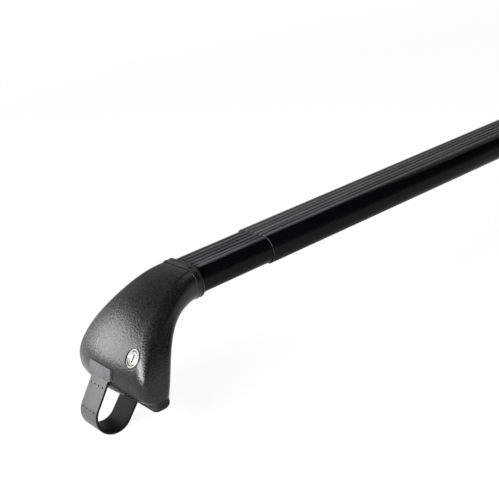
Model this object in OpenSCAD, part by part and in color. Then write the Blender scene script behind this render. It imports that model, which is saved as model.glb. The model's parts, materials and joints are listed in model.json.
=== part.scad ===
// Telescopic roof rack crossbar with strap feet for raised roof rails.
// The bar lies along X, the load deck faces +Z and the strap loops reach z = 0.
// Each foot is drawn once in its own frame: u = 0 is the mouth of its cover, +u points
// away from the bar, z = 0 is the bar's axis. The right foot is placed as drawn and the
// left one is the same foot turned half a turn about Z.

/* [Bar] */
// Length of the central outer tube
bar_len = 760; // [600:10:1000]
// Width of the outer tube across the bar
tube_w = 51.2; // [46:0.2:60]
// Height of the outer tube
tube_h = 25.6; // [22:0.2:32]
// Wall of the outer tube
outer_wall = 1; // [0.8:0.1:1.4]
// Wall of the inner tubes
inner_wall = 1.2; // [0.8:0.1:1.6]
// Gap between the sliding tubes
slide_gap = 0.3; // [0.2:0.05:0.5]
// Number of grooves rolled into the deck
groove_n = 5; // [3:2:5]
// Spacing of the deck grooves
groove_pitch = 6.2; // [6:0.1:7]
// Radius of each deck groove
groove_r = 1.6; // [1.2:0.1:1.8]
// Depth of each deck groove
groove_depth = 1.1; // [0.6:0.1:1.2]

/* [Telescope] */
// Inner tube that shows between the outer tube and the foot
inner_show = 76.5; // [70:0.5:120]
// Inner tube held inside the outer tube
insert_len = 250; // [220:5:280]
// How far a foot can be pushed in
travel_in = 50; // [20:1:52]
// How far a foot can be pulled out
travel_out = 100; // [50:1:120]
// Diameter of the stop pin
pin_d = 5; // [4:0.5:6]
// Distance of the stop pin from the end of the outer tube
pin_back = 20; // [15:1:30]

/* [Foot cover] */
// Wall of the moulded cover
cover_wall = 3.2; // [2.4:0.1:3.6]
// Half width of the cover at its mouth
mouth_half_w = 26.8; // [26:0.1:30]
// Half height of the cover at its mouth
mouth_half_h = 11.8; // [11:0.1:13]
// Half width of the cover at its base
base_half_w = 53; // [48:0.5:56]
// Depth of the base below the bar's axis
base_drop = 61; // [60.5:0.5:66]
// Inner edge of the base, from the mouth
base_in = 55; // [52:0.5:56]
// Outer edge of the base, from the mouth
base_out = 73.5; // [72:0.5:76]
// Furthest reach of the outer face, from the mouth
chin_reach = 85.5; // [83:0.5:88]
// Depth of that furthest reach below the bar's axis
chin_drop = 47; // [45:0.5:50]
// Corner radius at the mouth
mouth_r = 10.5; // [9:0.1:11]
// Radius of the corners beside the outer face, at the base
face_r = 6; // [5:0.5:8]
// Radius of the corners behind them, at the base
base_r = 9.5; // [7:0.5:10]
// How far the outer face is bowed across its width
face_bow = 8.5; // [4:0.5:9]

/* [Rail pad and strap] */
// Thickness of the rubber pad
pad_t = 9; // [8:0.5:11]
// Depth of the trough that seats on the rail
pad_trough = 1.2; // [0.8:0.1:1.6]
// Distance of each pad screw from the side of the base
pad_screw_edge = 23; // [18:0.5:26]
// Width of the strap
strap_w = 25; // [20:0.5:25]
// Thickness of the strap
strap_t = 2.4; // [2:0.1:2.8]
// Inside radius of the hanging loop
loop_r = 13.6; // [12:0.2:16]
// Length of the slack leg between the pad and the loop
slack_leg = 18; // [12:0.5:22]
// Width of the grip at the strap's outer end
tab_w = 32.5; // [30:0.5:34]
// Height of that grip
tab_h = 10; // [8:0.5:12]
// Thickness of that grip
tab_t = 5; // [4.6:0.1:6]

/* [Tension screw] */
// Thread diameter of the tension screw
screw_d = 6; // [5:0.5:6]
// Travel of the puller along the screw
pull_travel = 6; // [3:0.5:6]
// Height of the puller block
puller_h = 9.5; // [8.5:0.5:10.5]

/* [Lock] */
// Diameter of the lock's fixed sleeve
sleeve_d = 15; // [13:0.5:16]
// Diameter of the turning barrel
barrel_d = 11; // [9:0.5:12]
// Distance of the lock's centre from the side of the cover's base
lock_edge = 18.5; // [16:0.5:20]

/* [Hidden] */
$fn = 48;
fit = 0.15;             // gap of a piece that is fixed in its seat
free = 0.3;             // gap beside a piece that moves
black = "#151517";
plastic = "#2c2c2e";
rubber = "#1f1f20";
zinc = "#b9bbbd";
steel = "#8d9094";

// Profile of the bar, inset from the outer tube's skin. The grooves keep their centres, so
// that each tube, the plugs and the collar nest in one another.
groove_z = tube_h/2 + groove_r - groove_depth;
module tube_section(inset) {
    h = tube_h - 2*inset;
    w = tube_w - 2*inset;
    difference() {
        union() {
            square([w - h, h], center = true);
            for (s = [-1, 1]) translate([s*(w - h)/2, 0]) circle(d = h);
        }
        for (k = [0:groove_n - 1])
            translate([(k - (groove_n - 1)/2)*groove_pitch, groove_z]) circle(r = groove_r + inset);
    }
}
// Extrudes a section drawn in Y and Z along u, from u0 to u1.
module along_bar(u0, u1) {
    translate([u0, 0, 0]) rotate([90, 0, 90]) linear_extrude(u1 - u0) children();
}
// Extrudes a profile drawn in u and Z across the foot, centred on its middle.
module across(w) {
    rotate([90, 0, 0]) linear_extrude(w, center = true) children();
}

// Outer and inner profile of the cover in u and z, for t = 0 at the mouth to 1 at the base.
chin_at = 0.8;
function bezier(p, t) = pow(1 - t, 3)*p[0] + 3*t*pow(1 - t, 2)*p[1] + 3*t*t*(1 - t)*p[2] + pow(t, 3)*p[3];
chin = [chin_reach, -chin_drop];
shoulder = [[0, mouth_half_h], [chin_reach*0.41, mouth_half_h], [chin_reach - 1.5, -chin_drop*0.52], chin];
curl = [chin, [chin_reach + 0.5, -chin_drop - 10], [base_out + 10, -base_drop + 2], [base_out, -base_drop]];
throat = [[0, -mouth_half_h], [34, -mouth_half_h], [43, -mouth_half_h - 8], [base_in, -base_drop]];
function outer_at(t) = t < chin_at
    ? bezier(shoulder, t/chin_at)
    : bezier(curl, (t - chin_at)/(1 - chin_at));
function inner_at(t) = bezier(throat, t);
function ease(t) = let (s = pow(t, 0.7)) s*s*(3 - 2*s);
function half_w_at(t) = mouth_half_w + (base_half_w - mouth_half_w)*ease(t);
function bow_at(t) = face_bow*ease(t)*(1 - pow(max(0, t - chin_at)/(1 - chin_at), 2));
function unit(v) = v/norm(v);

// One ring of the loft at t, drawn inset from the skin and in the plane of the two profiles.
corner_steps = 7;
face_steps = 10;
function ring(t, inset) = let (
        o = outer_at(t), i = inner_at(t), d = unit(o - i), c = (o + i)/2,
        l = norm(o - i)/2 - inset, w = half_w_at(t) - inset,
        rf = corner_at(t, face_r, l, inset), rb = corner_at(t, base_r, l, inset))
    [for (p = concat(ring_corner(w, l, rf, 1, 1, 0),
            [for (k = [1:face_steps - 1]) [(w - rf)*(1 - 2*k/face_steps), l]],
            ring_corner(w, l, rf, -1, 1, 90), ring_corner(w, l, rb, -1, -1, 180),
            ring_corner(w, l, rb, 1, -1, 270)))
        let (bowed = p[1] - bow_at(t)*pow(p[0]/w, 2)*(p[1] + l)/(2*l))
        [c[0] + d[0]*bowed, p[0], c[1] + d[1]*bowed]];
function corner_at(t, end_r, l, inset) = min(mouth_r + (end_r - mouth_r)*ease(t) - inset*0.8, l*0.98);
function ring_corner(w, l, r, sy, sb, from) = [for (k = [0:corner_steps])
    let (a = from + 90*k/corner_steps) [sy*(w - r) + r*cos(a), sb*(l - r) + r*sin(a)]];
// Point of the outer face at t and y, and the slope of the face there.
function face_point(t, y) = let (
        o = outer_at(t), d = unit(o - inner_at(t)), w = half_w_at(t),
        p = o - d*bow_at(t)*pow(y/w, 2))
    [p[0], y, p[1]];
function face_tilt(t) = let (v = outer_at(t + 0.01) - outer_at(t - 0.01)) atan2(v[0], -v[1]);

// The cover's shell: an outer and an inner loft, joined by a rim at the mouth and at the base.
stations = 20;
module cover_shell() {
    n = len(ring(0, 0));
    last = stations*n;
    inner = (stations + 1)*n;
    skin = [for (s = [0:stations]) each ring(s/stations, 0)];
    lining = [for (s = [0:stations]) each ring(s/stations, cover_wall)];
    walls = [for (s = [0:stations - 1], k = [0:n - 1]) let (
            a = s*n + k, b = s*n + (k + 1) % n, c = b + n, d = a + n)
        each [[a, c, b], [a, d, c], [inner + a, inner + b, inner + c], [inner + a, inner + c, inner + d]]];
    rims = [for (k = [0:n - 1]) let (a = k, b = (k + 1) % n)
        each [[a, inner + b, inner + a], [a, b, inner + b],
            [last + a, inner + last + b, last + b], [last + a, inner + last + a, inner + last + b]]];
    polyhedron(concat(skin, lining), concat(walls, rims));
}

// Frame of the lock: its z axis leaves the cover at right angles to the outer face.
lock_t = 0.59;
lock_y = base_half_w - lock_edge;
lock_pos = face_point(lock_t, lock_y);
module lock_frame() {
    translate(lock_pos) rotate([0, 90 - face_tilt(lock_t), 0]) children();
}
boss_from = 3;          // the lock's boss starts inside the cover's wall
boss_to = 7;
boss_wall = 2;
nut_t = 3;
nut_d = sleeve_d + 1.6;
sleeve_len = boss_to + nut_t + 1.5;
barrel_len = 18;
key_slot = [6.4, 1.4, 5];
cam_t = 2.5;
cam_w = 6;
cam_hole = 4;

// Frame of the strap's grip: x is the depth from the face, z runs up the face.
tab_at = 0.745;
tab_pos = face_point(tab_at, 0);
tab_depth = tab_t - 1;  // the grip stands 1 mm proud of the face
tab_r = 2;
tab_rim = 2.5;          // the cover is thicker this far round the grip
module tab_frame() {
    translate(tab_pos) rotate([0, -face_tilt(tab_at), 0]) children();
}

// Inside layout, from the top of the tension screw down to the base plate.
past = 20;              // cuts run this far past the skin
screw_u = 69;
screw_head_d = screw_d*1.6;
screw_hole_d = screw_d + 0.4;
head_top = -29.6;
head_h = screw_d*0.8;
washer_t = 1.2;
bridge_t = 4;
bridge_u = [screw_u - 8, screw_u + 7];
bridge_top = head_top - head_h - washer_t;
plate_t = 4;
plate_top = -base_drop + plate_t;
cheek_t = 2.5;
puller_w = strap_w + 3;
cheek_y = puller_w/2 + 0.5;
puller_top = bridge_top - bridge_t - 0.7 - pull_travel;
puller_bottom = puller_top - puller_h;
screw_tip = plate_top + 1;
strap_u = 62.5;
strap_top = puller_top - 2;
puller_in = strap_u - strap_t/2 - 3.5;
puller_out = screw_u + screw_d/2 + 3.2;
neck_h = 13;
neck_len = 12;
neck_w = 2*(cheek_y + cheek_t);
strap_gap = 0.6;        // room round the strap where it passes through
lighten_at = 0.48;
lighten_d = 9;
catch_at = lock_y - neck_w/2;
catch_w = 10;
catch_t = 3.5;
catch_root = 2;         // the catch starts this deep in the cheek
cam_reach = catch_at - 0.8;
spigot_len = 20;
spigot_screw_r = 1.75;
spigot_screw_len = 9;
spigot_screw_back = 13;
spigot_screw_y = 9;
spigot_head = [3.2, 2]; // radius and height
plug_len = 18;
plug_wall = 2.5;
plug_cap = 6;
tube_end = 0.4;         // the inner tube stops just short of the cover
collar_len = 6;
collar_lip = 1.8;
collar_proud = [1.1, 0.5];
pad_bottom = -base_drop - pad_t;
pad_in = 0.8;           // the pad stands in from the cover's skin
pad_edge_r = 4;
pad_trough_r = 22;
pad_screw_r = 1.9;
pad_screw_y = base_half_w - pad_screw_edge;
pad_head = [3.8, 1.2];  // radius and height
pad_head_z = 2.3;       // from the pad's underside to the screw's head

// The strap's centre line: down through the pad, round a bend, along the slack leg, round
// the loop and up to the grip.
bend_r = 8;
leg_angle = 42;
bend_z = pad_bottom + 3;
bend_c = [strap_u + bend_r, bend_z];
bend_end = bend_c + bend_r*[-cos(leg_angle), -sin(leg_angle)];
leg_dir = [sin(leg_angle), -cos(leg_angle)];
mid_r = loop_r + strap_t/2;
loop_c = bend_end + slack_leg*leg_dir + mid_r*[cos(leg_angle), sin(leg_angle)];
strap_depth = 0.9;      // the strap lies this deep in the grip, behind the face
tab_dir = [sin(face_tilt(tab_at)), -cos(face_tilt(tab_at))];
tab_normal = [cos(face_tilt(tab_at)), sin(face_tilt(tab_at))];
tab_uz = [tab_pos[0], tab_pos[2]];
strap_end = tab_uz - strap_depth*tab_normal - 1*tab_dir;
strap_exit = strap_end + (tab_h/2 + 1.5)*tab_dir;
exit_v = loop_c - strap_exit;
exit_turn = asin(mid_r/norm(exit_v));
exit_a = atan2(exit_v[1], exit_v[0]) + exit_turn + 90;
arc_step = 6;
arc_n = round((exit_a + 180 - leg_angle)/arc_step);
function arc_points(c, r, a0, a1, n) =
    [for (k = [0:n]) let (a = a0 + (a1 - a0)*k/n) c + r*[cos(a), sin(a)]];
strap_path = concat(
    [[strap_u, strap_top]],
    arc_points(bend_c, bend_r, 180, 180 + leg_angle, 4),
    arc_points(loop_c, mid_r, -180 + leg_angle, exit_a, arc_n),
    [strap_exit, strap_end]);
function path_normal(p, k) = let (
        a = unit(p[k] - p[max(k - 1, 0)] + (k == 0 ? p[1] - p[0] : [0, 0])),
        b = unit(p[min(k + 1, len(p) - 1)] - p[k] + (k == len(p) - 1 ? p[k] - p[k - 1] : [0, 0])),
        m = unit(a + b))
    [-m[1], m[0]]/(a*m);
module band(p, t) {
    polygon(concat([for (k = [0:len(p) - 1]) p[k] + path_normal(p, k)*t/2],
        [for (k = [len(p) - 1:-1:0]) p[k] - path_normal(p, k)*t/2]));
}
axis_z = -(loop_c[1] - loop_r - strap_t);
mouth_x = bar_len/2 + inner_show;
stop_u = -inner_show - pin_back;

module outer_tube() {
    color(black) translate([0, 0, axis_z]) difference() {
        along_bar(-bar_len/2, bar_len/2) difference() {
            tube_section(0);
            tube_section(outer_wall);
        }
        for (s = [-1, 1]) translate([s*(bar_len/2 - pin_back), 0, -tube_h/2 - 1])
            cylinder(d = pin_d, h = outer_wall + 2);
    }
}

module inner_tube() {
    slot_w = pin_d + 2*free;
    color(black) difference() {
        along_bar(-inner_show - insert_len, -tube_end) difference() {
            tube_section(outer_wall + slide_gap);
            tube_section(outer_wall + slide_gap + inner_wall);
        }
        translate([stop_u - travel_out, -slot_w/2, -tube_h/2])
            cube([travel_out + travel_in, slot_w, tube_h/2]);
        for (u = [stop_u - travel_out, stop_u + travel_in])
            translate([u, 0, -tube_h/2]) cylinder(d = slot_w, h = tube_h/2);
        for (s = [-1, 1]) spigot_screw_at(s) cylinder(r = spigot_screw_r + fit, h = 10);
    }
}

module glide_plug() {
    end = -inner_show - insert_len;
    color(rubber) {
        along_bar(end - plug_cap, end) tube_section(outer_wall + slide_gap);
        along_bar(end - 0.01, end + plug_len) difference() {
            tube_section(outer_wall + slide_gap + inner_wall + fit);
            tube_section(outer_wall + slide_gap + inner_wall + fit + plug_wall);
        }
    }
}

// The stop pin is riveted in the outer tube and runs in the slot under the inner tube.
module stop_pin() {
    head_t = 1.5;
    color(steel) translate([stop_u, 0, -tube_h/2]) {
        cylinder(d = pin_d - 0.1, h = outer_wall + slide_gap + inner_wall + free);
        translate([0, 0, -head_t]) cylinder(d = pin_d + 3.5, h = head_t);
    }
}

module collar() {
    color(plastic) {
        for (u = [-collar_len, -collar_lip]) along_bar(u, u + collar_lip) collar_ring(collar_proud[0]);
        along_bar(-collar_len, 0) collar_ring(collar_proud[1]);
    }
}
module collar_ring(proud) {
    difference() {
        tube_outline(-proud);
        tube_section(outer_wall + slide_gap - fit);
    }
}
// The bar's outline without its grooves.
module tube_outline(inset) {
    h = tube_h - 2*inset;
    w = tube_w - 2*inset;
    square([w - h, h], center = true);
    for (s = [-1, 1]) translate([s*(w - h)/2, 0]) circle(d = h);
}

module foot_cover() {
    color(plastic) difference() {
        union() {
            cover_shell();
            lock_frame() translate([0, 0, -boss_to])
                cylinder(d = sleeve_d + 2*boss_wall, h = boss_to - boss_from);
            tab_frame() along_bar(-tab_depth - 2, -2)
                square([tab_w + 2*tab_rim, tab_h + 2*tab_rim], center = true);
        }
        lock_frame() translate([0, 0, -boss_to - 1]) cylinder(d = sleeve_d + 2*fit, h = boss_to + past);
        tab_frame() along_bar(-tab_depth - free, past) rounded(tab_w + 2*free, tab_h + 2*free, tab_r + free);
        tab_frame() translate([-strap_depth - strap_t/2 - free, -strap_w/2 - free, -tab_h - 6])
            cube([past, strap_w + 2*free, tab_h + 6]);
    }
}

// The core is one casting: a spigot in the tube, a neck, two cheeks, the bridge under the
// screw's head, the base plate and the catch for the lock's cam.
module foot_core() {
    color(steel) difference() {
        union() {
            along_bar(-tube_end - spigot_len, -tube_end)
                tube_section(outer_wall + slide_gap + inner_wall + fit);
            translate([-tube_end, -neck_w/2, -neck_h/2]) cube([neck_len, neck_w, neck_h]);
            for (s = [-1, 1]) translate([0, s*(cheek_y + cheek_t/2), 0])
                across(cheek_t) cheek_profile();
            translate([bridge_u[0], -cheek_y - 0.5, bridge_top - bridge_t])
                cube([bridge_u[1] - bridge_u[0], 2*cheek_y + 1, bridge_t]);
            translate([0, 0, -base_drop]) linear_extrude(plate_t) base_outline(-cover_wall - 0.4);
            catch_lug();
        }
        translate([screw_u, 0, bridge_top - bridge_t - 1]) cylinder(d = screw_d + 2*free, h = bridge_t + 2);
        translate([strap_u - strap_t/2 - strap_gap, -strap_w/2 - strap_gap, -base_drop - 1])
            cube([strap_t + 2*strap_gap, strap_w + 2*strap_gap, plate_t + 2]);
        for (s = [-1, 1]) pad_screw_at(s) cylinder(r = pad_screw_r + fit, h = pad_t + plate_t + 2);
        for (s = [-1, 1]) spigot_screw_at(s) cylinder(r = spigot_screw_r + fit, h = spigot_screw_len + 1);
        translate([lighten_c[0], 0, lighten_c[1]]) rotate([90, 0, 0])
            cylinder(d = lighten_d, h = 2*neck_w, center = true);
    }
}
lighten_c = (outer_at(lighten_at) + inner_at(lighten_at))/2;
// Each cheek runs behind the cover's face and throat, from near the mouth to the base plate.
module cheek_profile() {
    outer_gap = tab_depth + 4.8;
    inner_gap = cover_wall + 1.2;
    steps = 14;
    to = 0.93;
    function behind(p, q, gap) = p + unit(q - p)*gap;
    outer = [for (k = [1:steps]) behind(outer_at(to*k/steps), inner_at(to*k/steps), outer_gap)];
    inner = [for (k = [steps:-1:1]) behind(inner_at(to*k/steps), outer_at(to*k/steps), inner_gap)];
    foot = [[base_out - 8, plate_top - 1], [base_in + 5, plate_top - 1]];
    polygon(concat(outer, foot, inner));
}
// The base of the cover and of the pad, grown or shrunk, drawn in u and y.
module base_outline(grow) {
    polygon([for (p = ring(1, -grow)) [p[0], p[1]]]);
}
module catch_lug() {
    lock_frame() translate([-catch_w/2, -catch_at - catch_root, -barrel_len + free])
        cube([catch_w, catch_at + catch_root - barrel_d/2 - 3*free, catch_t]);
}

module spigot_screw_at(s) {
    translate([-spigot_screw_back, s*spigot_screw_y, -tube_h/2 + outer_wall + slide_gap]) children();
}
module spigot_screws() {
    color(zinc) for (s = [-1, 1]) spigot_screw_at(s) {
        cylinder(r = spigot_screw_r, h = spigot_screw_len);
        translate([0, 0, -spigot_head[1]]) cylinder(r = spigot_head[0], h = spigot_head[1]);
    }
}

// The pad's underside is rounded off all round and hollowed along the rail.
module rail_pad() {
    mid = (base_in + base_out)/2;
    color(rubber) difference() {
        hull() {
            for (a = [0:30:90]) pad_slice(pad_edge_r*(1 - sin(a)), pad_edge_r*(1 - cos(a)));
            pad_slice(pad_t - slice_t, 0);
        }
        translate([mid, 0, pad_bottom - pad_trough_r + pad_trough]) rotate([90, 0, 0])
            cylinder(r = pad_trough_r, h = 3*base_half_w, center = true, $fn = 96);
        translate([strap_u - strap_t/2 - strap_gap, -strap_w/2 - strap_gap, pad_bottom - 1])
            cube([strap_t + strap_gap + bend_room, strap_w + 2*strap_gap, pad_t + 2]);
        for (s = [-1, 1]) pad_screw_at(s) {
            cylinder(r = pad_screw_r + fit, h = 2*pad_t);
            translate([0, 0, -1]) cylinder(r = pad_head[0] + free, h = 1 + pad_head_z + pad_head[1]);
        }
    }
}
slice_t = 0.01;
bend_room = 3.8;        // the strap's bend leaves the pad through this much more room
module pad_slice(z, inset) {
    translate([0, 0, pad_bottom + z]) linear_extrude(slice_t) base_outline(-pad_in - inset);
}

module pad_screw_at(s) {
    translate([(base_in + base_out)/2, s*pad_screw_y, pad_bottom]) children();
}
module pad_screws() {
    color(zinc) for (s = [-1, 1]) pad_screw_at(s) translate([0, 0, pad_head_z]) {
        cylinder(r = pad_screw_r, h = pad_t - pad_head_z + plate_t);
        cylinder(r = pad_head[0], h = pad_head[1]);
    }
}

module strap() {
    color(rubber) across(strap_w) band(strap_path, strap_t);
}

// The grip is a moulded plate pushed over the strap's outer end.
module strap_grip() {
    color(rubber) difference() {
        tab_frame() along_bar(-tab_depth, tab_t - tab_depth) rounded(tab_w, tab_h, tab_r);
        across(strap_w + 2*fit) band([strap_exit + tab_dir, strap_end - fit*tab_dir], strap_t + 2*fit);
    }
}
module rounded(w, h, r) {
    square([w - 2*r, h], center = true);
    square([w, h - 2*r], center = true);
    for (x = [-1, 1], y = [-1, 1]) translate([x*(w/2 - r), y*(h/2 - r)]) circle(r = r);
}

module strap_puller() {
    color(steel) difference() {
        translate([puller_in, -puller_w/2, puller_bottom])
            cube([puller_out - puller_in, puller_w, puller_h]);
        translate([strap_u - strap_t/2 - free, -strap_w/2 - free, puller_bottom - 1])
            cube([strap_t + 2*free, strap_w + 2*free, strap_top - puller_bottom + 1 + free]);
        translate([screw_u, 0, puller_bottom - 1]) cylinder(d = screw_hole_d, h = puller_h + 2);
    }
}

module tension_screw() {
    color(zinc) difference() {
        union() {
            translate([screw_u, 0, screw_tip]) cylinder(d = screw_d, h = head_top - head_h - screw_tip);
            translate([screw_u, 0, head_top - head_h]) cylinder(d = screw_head_d, h = head_h);
        }
        translate([screw_u, 0, head_top - head_h/2]) cylinder(d = screw_d*0.95, h = head_h, $fn = 6);
    }
}

module screw_washer() {
    color(zinc) translate([screw_u, 0, bridge_top]) difference() {
        cylinder(d = screw_d*2, h = washer_t);
        translate([0, 0, -1]) cylinder(d = screw_hole_d, h = washer_t + 2);
    }
}

module lock_sleeve() {
    color(zinc) lock_frame() difference() {
        translate([0, 0, -sleeve_len]) cylinder(d = sleeve_d, h = sleeve_len);
        translate([0, 0, -sleeve_len - 1]) cylinder(d = barrel_d + 2*fit, h = sleeve_len + 3);
    }
}

module lock_nut() {
    color(steel) lock_frame() translate([0, 0, -boss_to - nut_t]) difference() {
        cylinder(d = nut_d, h = nut_t);
        translate([0, 0, -1]) cylinder(d = sleeve_d + 0.1, h = nut_t + 2);
    }
}

module lock_barrel() {
    color(zinc) lock_frame() difference() {
        translate([0, 0, -barrel_len]) cylinder(d = barrel_d, h = barrel_len - free);
        translate([-key_slot[0]/2, -key_slot[1]/2, -key_slot[2]]) cube(key_slot);
    }
}

module lock_cam() {
    color(steel) lock_frame() translate([0, 0, -barrel_len - cam_t]) difference() {
        union() {
            cylinder(d = barrel_d, h = cam_t);
            translate([-cam_w/2, -cam_reach, 0]) cube([cam_w, cam_reach, cam_t]);
        }
        translate([0, 0, -1]) cylinder(d = cam_hole, h = cam_t + 2);
    }
}

module cam_screw() {
    color(zinc) lock_frame() translate([0, 0, -barrel_len - cam_t]) {
        cylinder(d = cam_hole - 0.2, h = cam_t);
        translate([0, 0, -2]) cylinder(d = cam_hole + 3, h = 2);
    }
}

// Draws a piece of the foot at the side that its node names.
module place(side) {
    rotate([0, 0, side == "left" ? 180 : 0]) translate([mouth_x, 0, axis_z]) children();
}

outer_tube();
for (side = ["left", "right"]) place(side) {
    inner_tube();
    glide_plug();
    stop_pin();
    collar();
    foot_cover();
    foot_core();
    spigot_screws();
    rail_pad();
    pad_screws();
    strap();
    strap_grip();
    strap_puller();
    tension_screw();
    screw_washer();
    lock_sleeve();
    lock_nut();
    lock_barrel();
    lock_cam();
    cam_screw();
}
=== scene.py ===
# %% [markdown]
# # A telescopic roof rack crossbar
#
# The bar is a flat-oval steel tube with a ribbed deck. A thinner tube slides out of each end and
# carries a foot: a moulded cover with a key lock, a rubber pad that sits on the roof rail and a
# rubber strap that is wrapped round it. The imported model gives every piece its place, so the first
# cell loads it and keeps its box.

# %% Load the frame
import json
import bpy
import numpy as np
from mathutils import Matrix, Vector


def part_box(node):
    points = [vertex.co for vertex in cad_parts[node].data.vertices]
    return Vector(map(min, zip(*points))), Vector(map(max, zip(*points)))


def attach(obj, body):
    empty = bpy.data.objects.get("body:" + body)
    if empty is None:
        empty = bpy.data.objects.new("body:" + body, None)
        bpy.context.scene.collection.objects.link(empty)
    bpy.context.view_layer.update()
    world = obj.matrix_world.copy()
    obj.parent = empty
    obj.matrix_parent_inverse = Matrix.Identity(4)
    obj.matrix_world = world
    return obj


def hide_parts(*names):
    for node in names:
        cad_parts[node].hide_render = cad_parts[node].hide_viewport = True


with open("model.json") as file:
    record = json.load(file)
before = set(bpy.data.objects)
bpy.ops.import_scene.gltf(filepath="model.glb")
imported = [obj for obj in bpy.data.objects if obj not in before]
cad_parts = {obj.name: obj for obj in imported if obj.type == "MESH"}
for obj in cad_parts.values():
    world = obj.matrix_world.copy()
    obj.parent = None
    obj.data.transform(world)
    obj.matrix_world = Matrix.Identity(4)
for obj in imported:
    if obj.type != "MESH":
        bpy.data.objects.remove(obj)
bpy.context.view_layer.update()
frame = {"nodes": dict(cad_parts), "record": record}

MM = 0.001

# %% [markdown]
# ## Sizes
#
# Most places come from the frame itself. What a box can't say, such as the reach of a curve, is
# repeated here in millimetres, as the CAD model has it. A foot is worked out once, in its own
# frame: u runs outward from the mouth of its cover, y across and z up from the axis of the bar.
# The left foot is the same foot turned half a turn. The lock's place and tilt are those of the
# joint that its key turns, so the barrel runs true in its sleeve.

# %% Sizes read from the frame and from the drawing
tube_low, tube_high = (np.array(c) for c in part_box("outer_tube"))
cover_low, cover_high = (np.array(c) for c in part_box("right_foot_cover"))
pad_low, pad_high = (np.array(c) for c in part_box("right_rail_pad"))
AXIS_Z = (tube_low[2] + tube_high[2]) / 2
MOUTH_X = cover_low[0]
TUBE_W, TUBE_H = tube_high[1] - tube_low[1], tube_high[2] - tube_low[2]
BASE_HALF_W = (cover_high[1] - cover_low[1]) / 2
CHIN_REACH = cover_high[0] - MOUTH_X
BASE_DROP = AXIS_Z - cover_low[2]
PAD_T = pad_high[2] - pad_low[2]

GROOVES, GROOVE_PITCH, GROOVE_R, GROOVE_DEPTH = 5, 6.2 * MM, 1.6 * MM, 1.1 * MM
OUTER_WALL, INNER_WALL, SLIDE_GAP = 1.0 * MM, 1.2 * MM, 0.3 * MM
COVER_WALL = 3.2 * MM
MOUTH_HALF_W, MOUTH_HALF_H = 26.8 * MM, 11.8 * MM
MOUTH_R, FACE_R, BASE_R = 10.5 * MM, 6 * MM, 9.5 * MM
BASE_IN, BASE_OUT, CHIN_DROP, FACE_BOW, CHIN_AT = 55 * MM, 73.5 * MM, 47 * MM, 8.5 * MM, 0.8
LOCK_PLACE = np.array([528.593, 34.5, 64.712]) * MM - (MOUTH_X, 0, AXIS_Z)
LOCK_TILT = np.radians(40.142)
SLEEVE_D, BARREL_D = 15 * MM, 11 * MM
TAB_AT, TAB_W, TAB_H, TAB_R, TAB_PROUD = 0.745, 32.5 * MM, 10 * MM, 2 * MM, 1 * MM
STRAP_W, STRAP_T, STRAP_U = 25 * MM, 2.4 * MM, 62.5 * MM
FIT, FREE = 0.15 * MM, 0.3 * MM
print("axis height %.1f mm, mouth at %.1f mm" % (AXIS_Z / MM, MOUTH_X / MM))

# %% [markdown]
# ## Camera
#
# The photograph looks along the bar from its left end, a little from above. The place, the lens
# and the small roll were worked out from the edges of the tube and of its end ring.

# %% Camera at the photograph's angle
FRAME_PX, FOCAL_PX, SENSOR = 499, 962.0, 36.0
camera_right = np.array([0.78298525, -0.59624883, -0.17726092])
camera_up = np.array([0.34639082, 0.18124176, 0.92041557])
camera_back = np.cross(camera_right, camera_up)
camera_place = np.array([tube_low[0], 0, AXIS_Z]) + np.array([-418.743, -624.653, 277.798]) * MM
camera_data = bpy.data.cameras.new("camera")
camera_data.sensor_width = SENSOR
camera_data.lens = SENSOR * FOCAL_PX / FRAME_PX
camera = bpy.data.objects.new("camera", camera_data)
bpy.context.scene.collection.objects.link(camera)
turn = np.eye(4)
turn[:3, :3] = np.stack([camera_right, camera_up, camera_back], axis=1)
turn[:3, 3] = camera_place
camera.matrix_world = Matrix(turn.tolist())
bpy.context.scene.camera = camera
print("lens %.1f mm" % camera_data.lens)

# %% [markdown]
# ## Helpers for meshes
#
# Every new piece is a stack of rings, kept as one array of rows, points and coordinates. A tube, a
# collar or a shell closes on itself both ways round. A pad or a barrel is closed by a flat face at
# each end. One function puts either kind into a mesh. Holes and pockets are cut with a boolean,
# because their edges are sharp and their places exact.

# %% From rows of points to a mesh
def signed_volume(mesh):
    """Sum of the tetrahedra between the origin and each triangle: negative when inside out."""
    mesh.calc_loop_triangles()
    tri = np.empty(len(mesh.loop_triangles) * 3, np.int32)
    mesh.loop_triangles.foreach_get("vertices", tri)
    co = np.empty(len(mesh.vertices) * 3)
    mesh.vertices.foreach_get("co", co)
    a, b, c = co.reshape(-1, 3)[tri.reshape(-1, 3)].transpose(1, 0, 2)
    return np.einsum("ij,ij->", a, np.cross(b, c)) / 6


def solid(name, rows, capped):
    """Quads between neighbouring rings. capped closes the ends with a flat face; otherwise the
    last ring joins the first, as round the wall of a tube."""
    rows = np.asarray(rows, float)
    m, n = rows.shape[:2]
    ring, point = np.arange(m - 1 if capped else m)[:, None], np.arange(n)[None, :]
    next_ring, next_point = (ring + 1) % m, (point + 1) % n
    corners = [ring * n + point, ring * n + next_point, next_ring * n + next_point, next_ring * n + point]
    faces = np.stack(np.broadcast_arrays(*corners), axis=-1).reshape(-1, 4).tolist()
    if capped:
        faces += [list(range(n))[::-1], list(range((m - 1) * n, m * n))]
    mesh = bpy.data.meshes.new(name)
    mesh.from_pydata(rows.reshape(-1, 3).tolist(), [], faces)
    mesh.validate()
    piece = bpy.data.objects.new(name, mesh)
    bpy.context.scene.collection.objects.link(piece)
    if signed_volume(mesh) < 0:
        mesh.flip_normals()
    return piece


def smooth(piece, angle):
    """Shades a piece smooth and keeps edges sharper than the angle crisp."""
    piece.data.shade_smooth()
    piece.data.set_sharp_from_angle(angle=np.radians(angle))
    return piece


# %% Cutting and joining
CLEAR = 1 * MM


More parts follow.
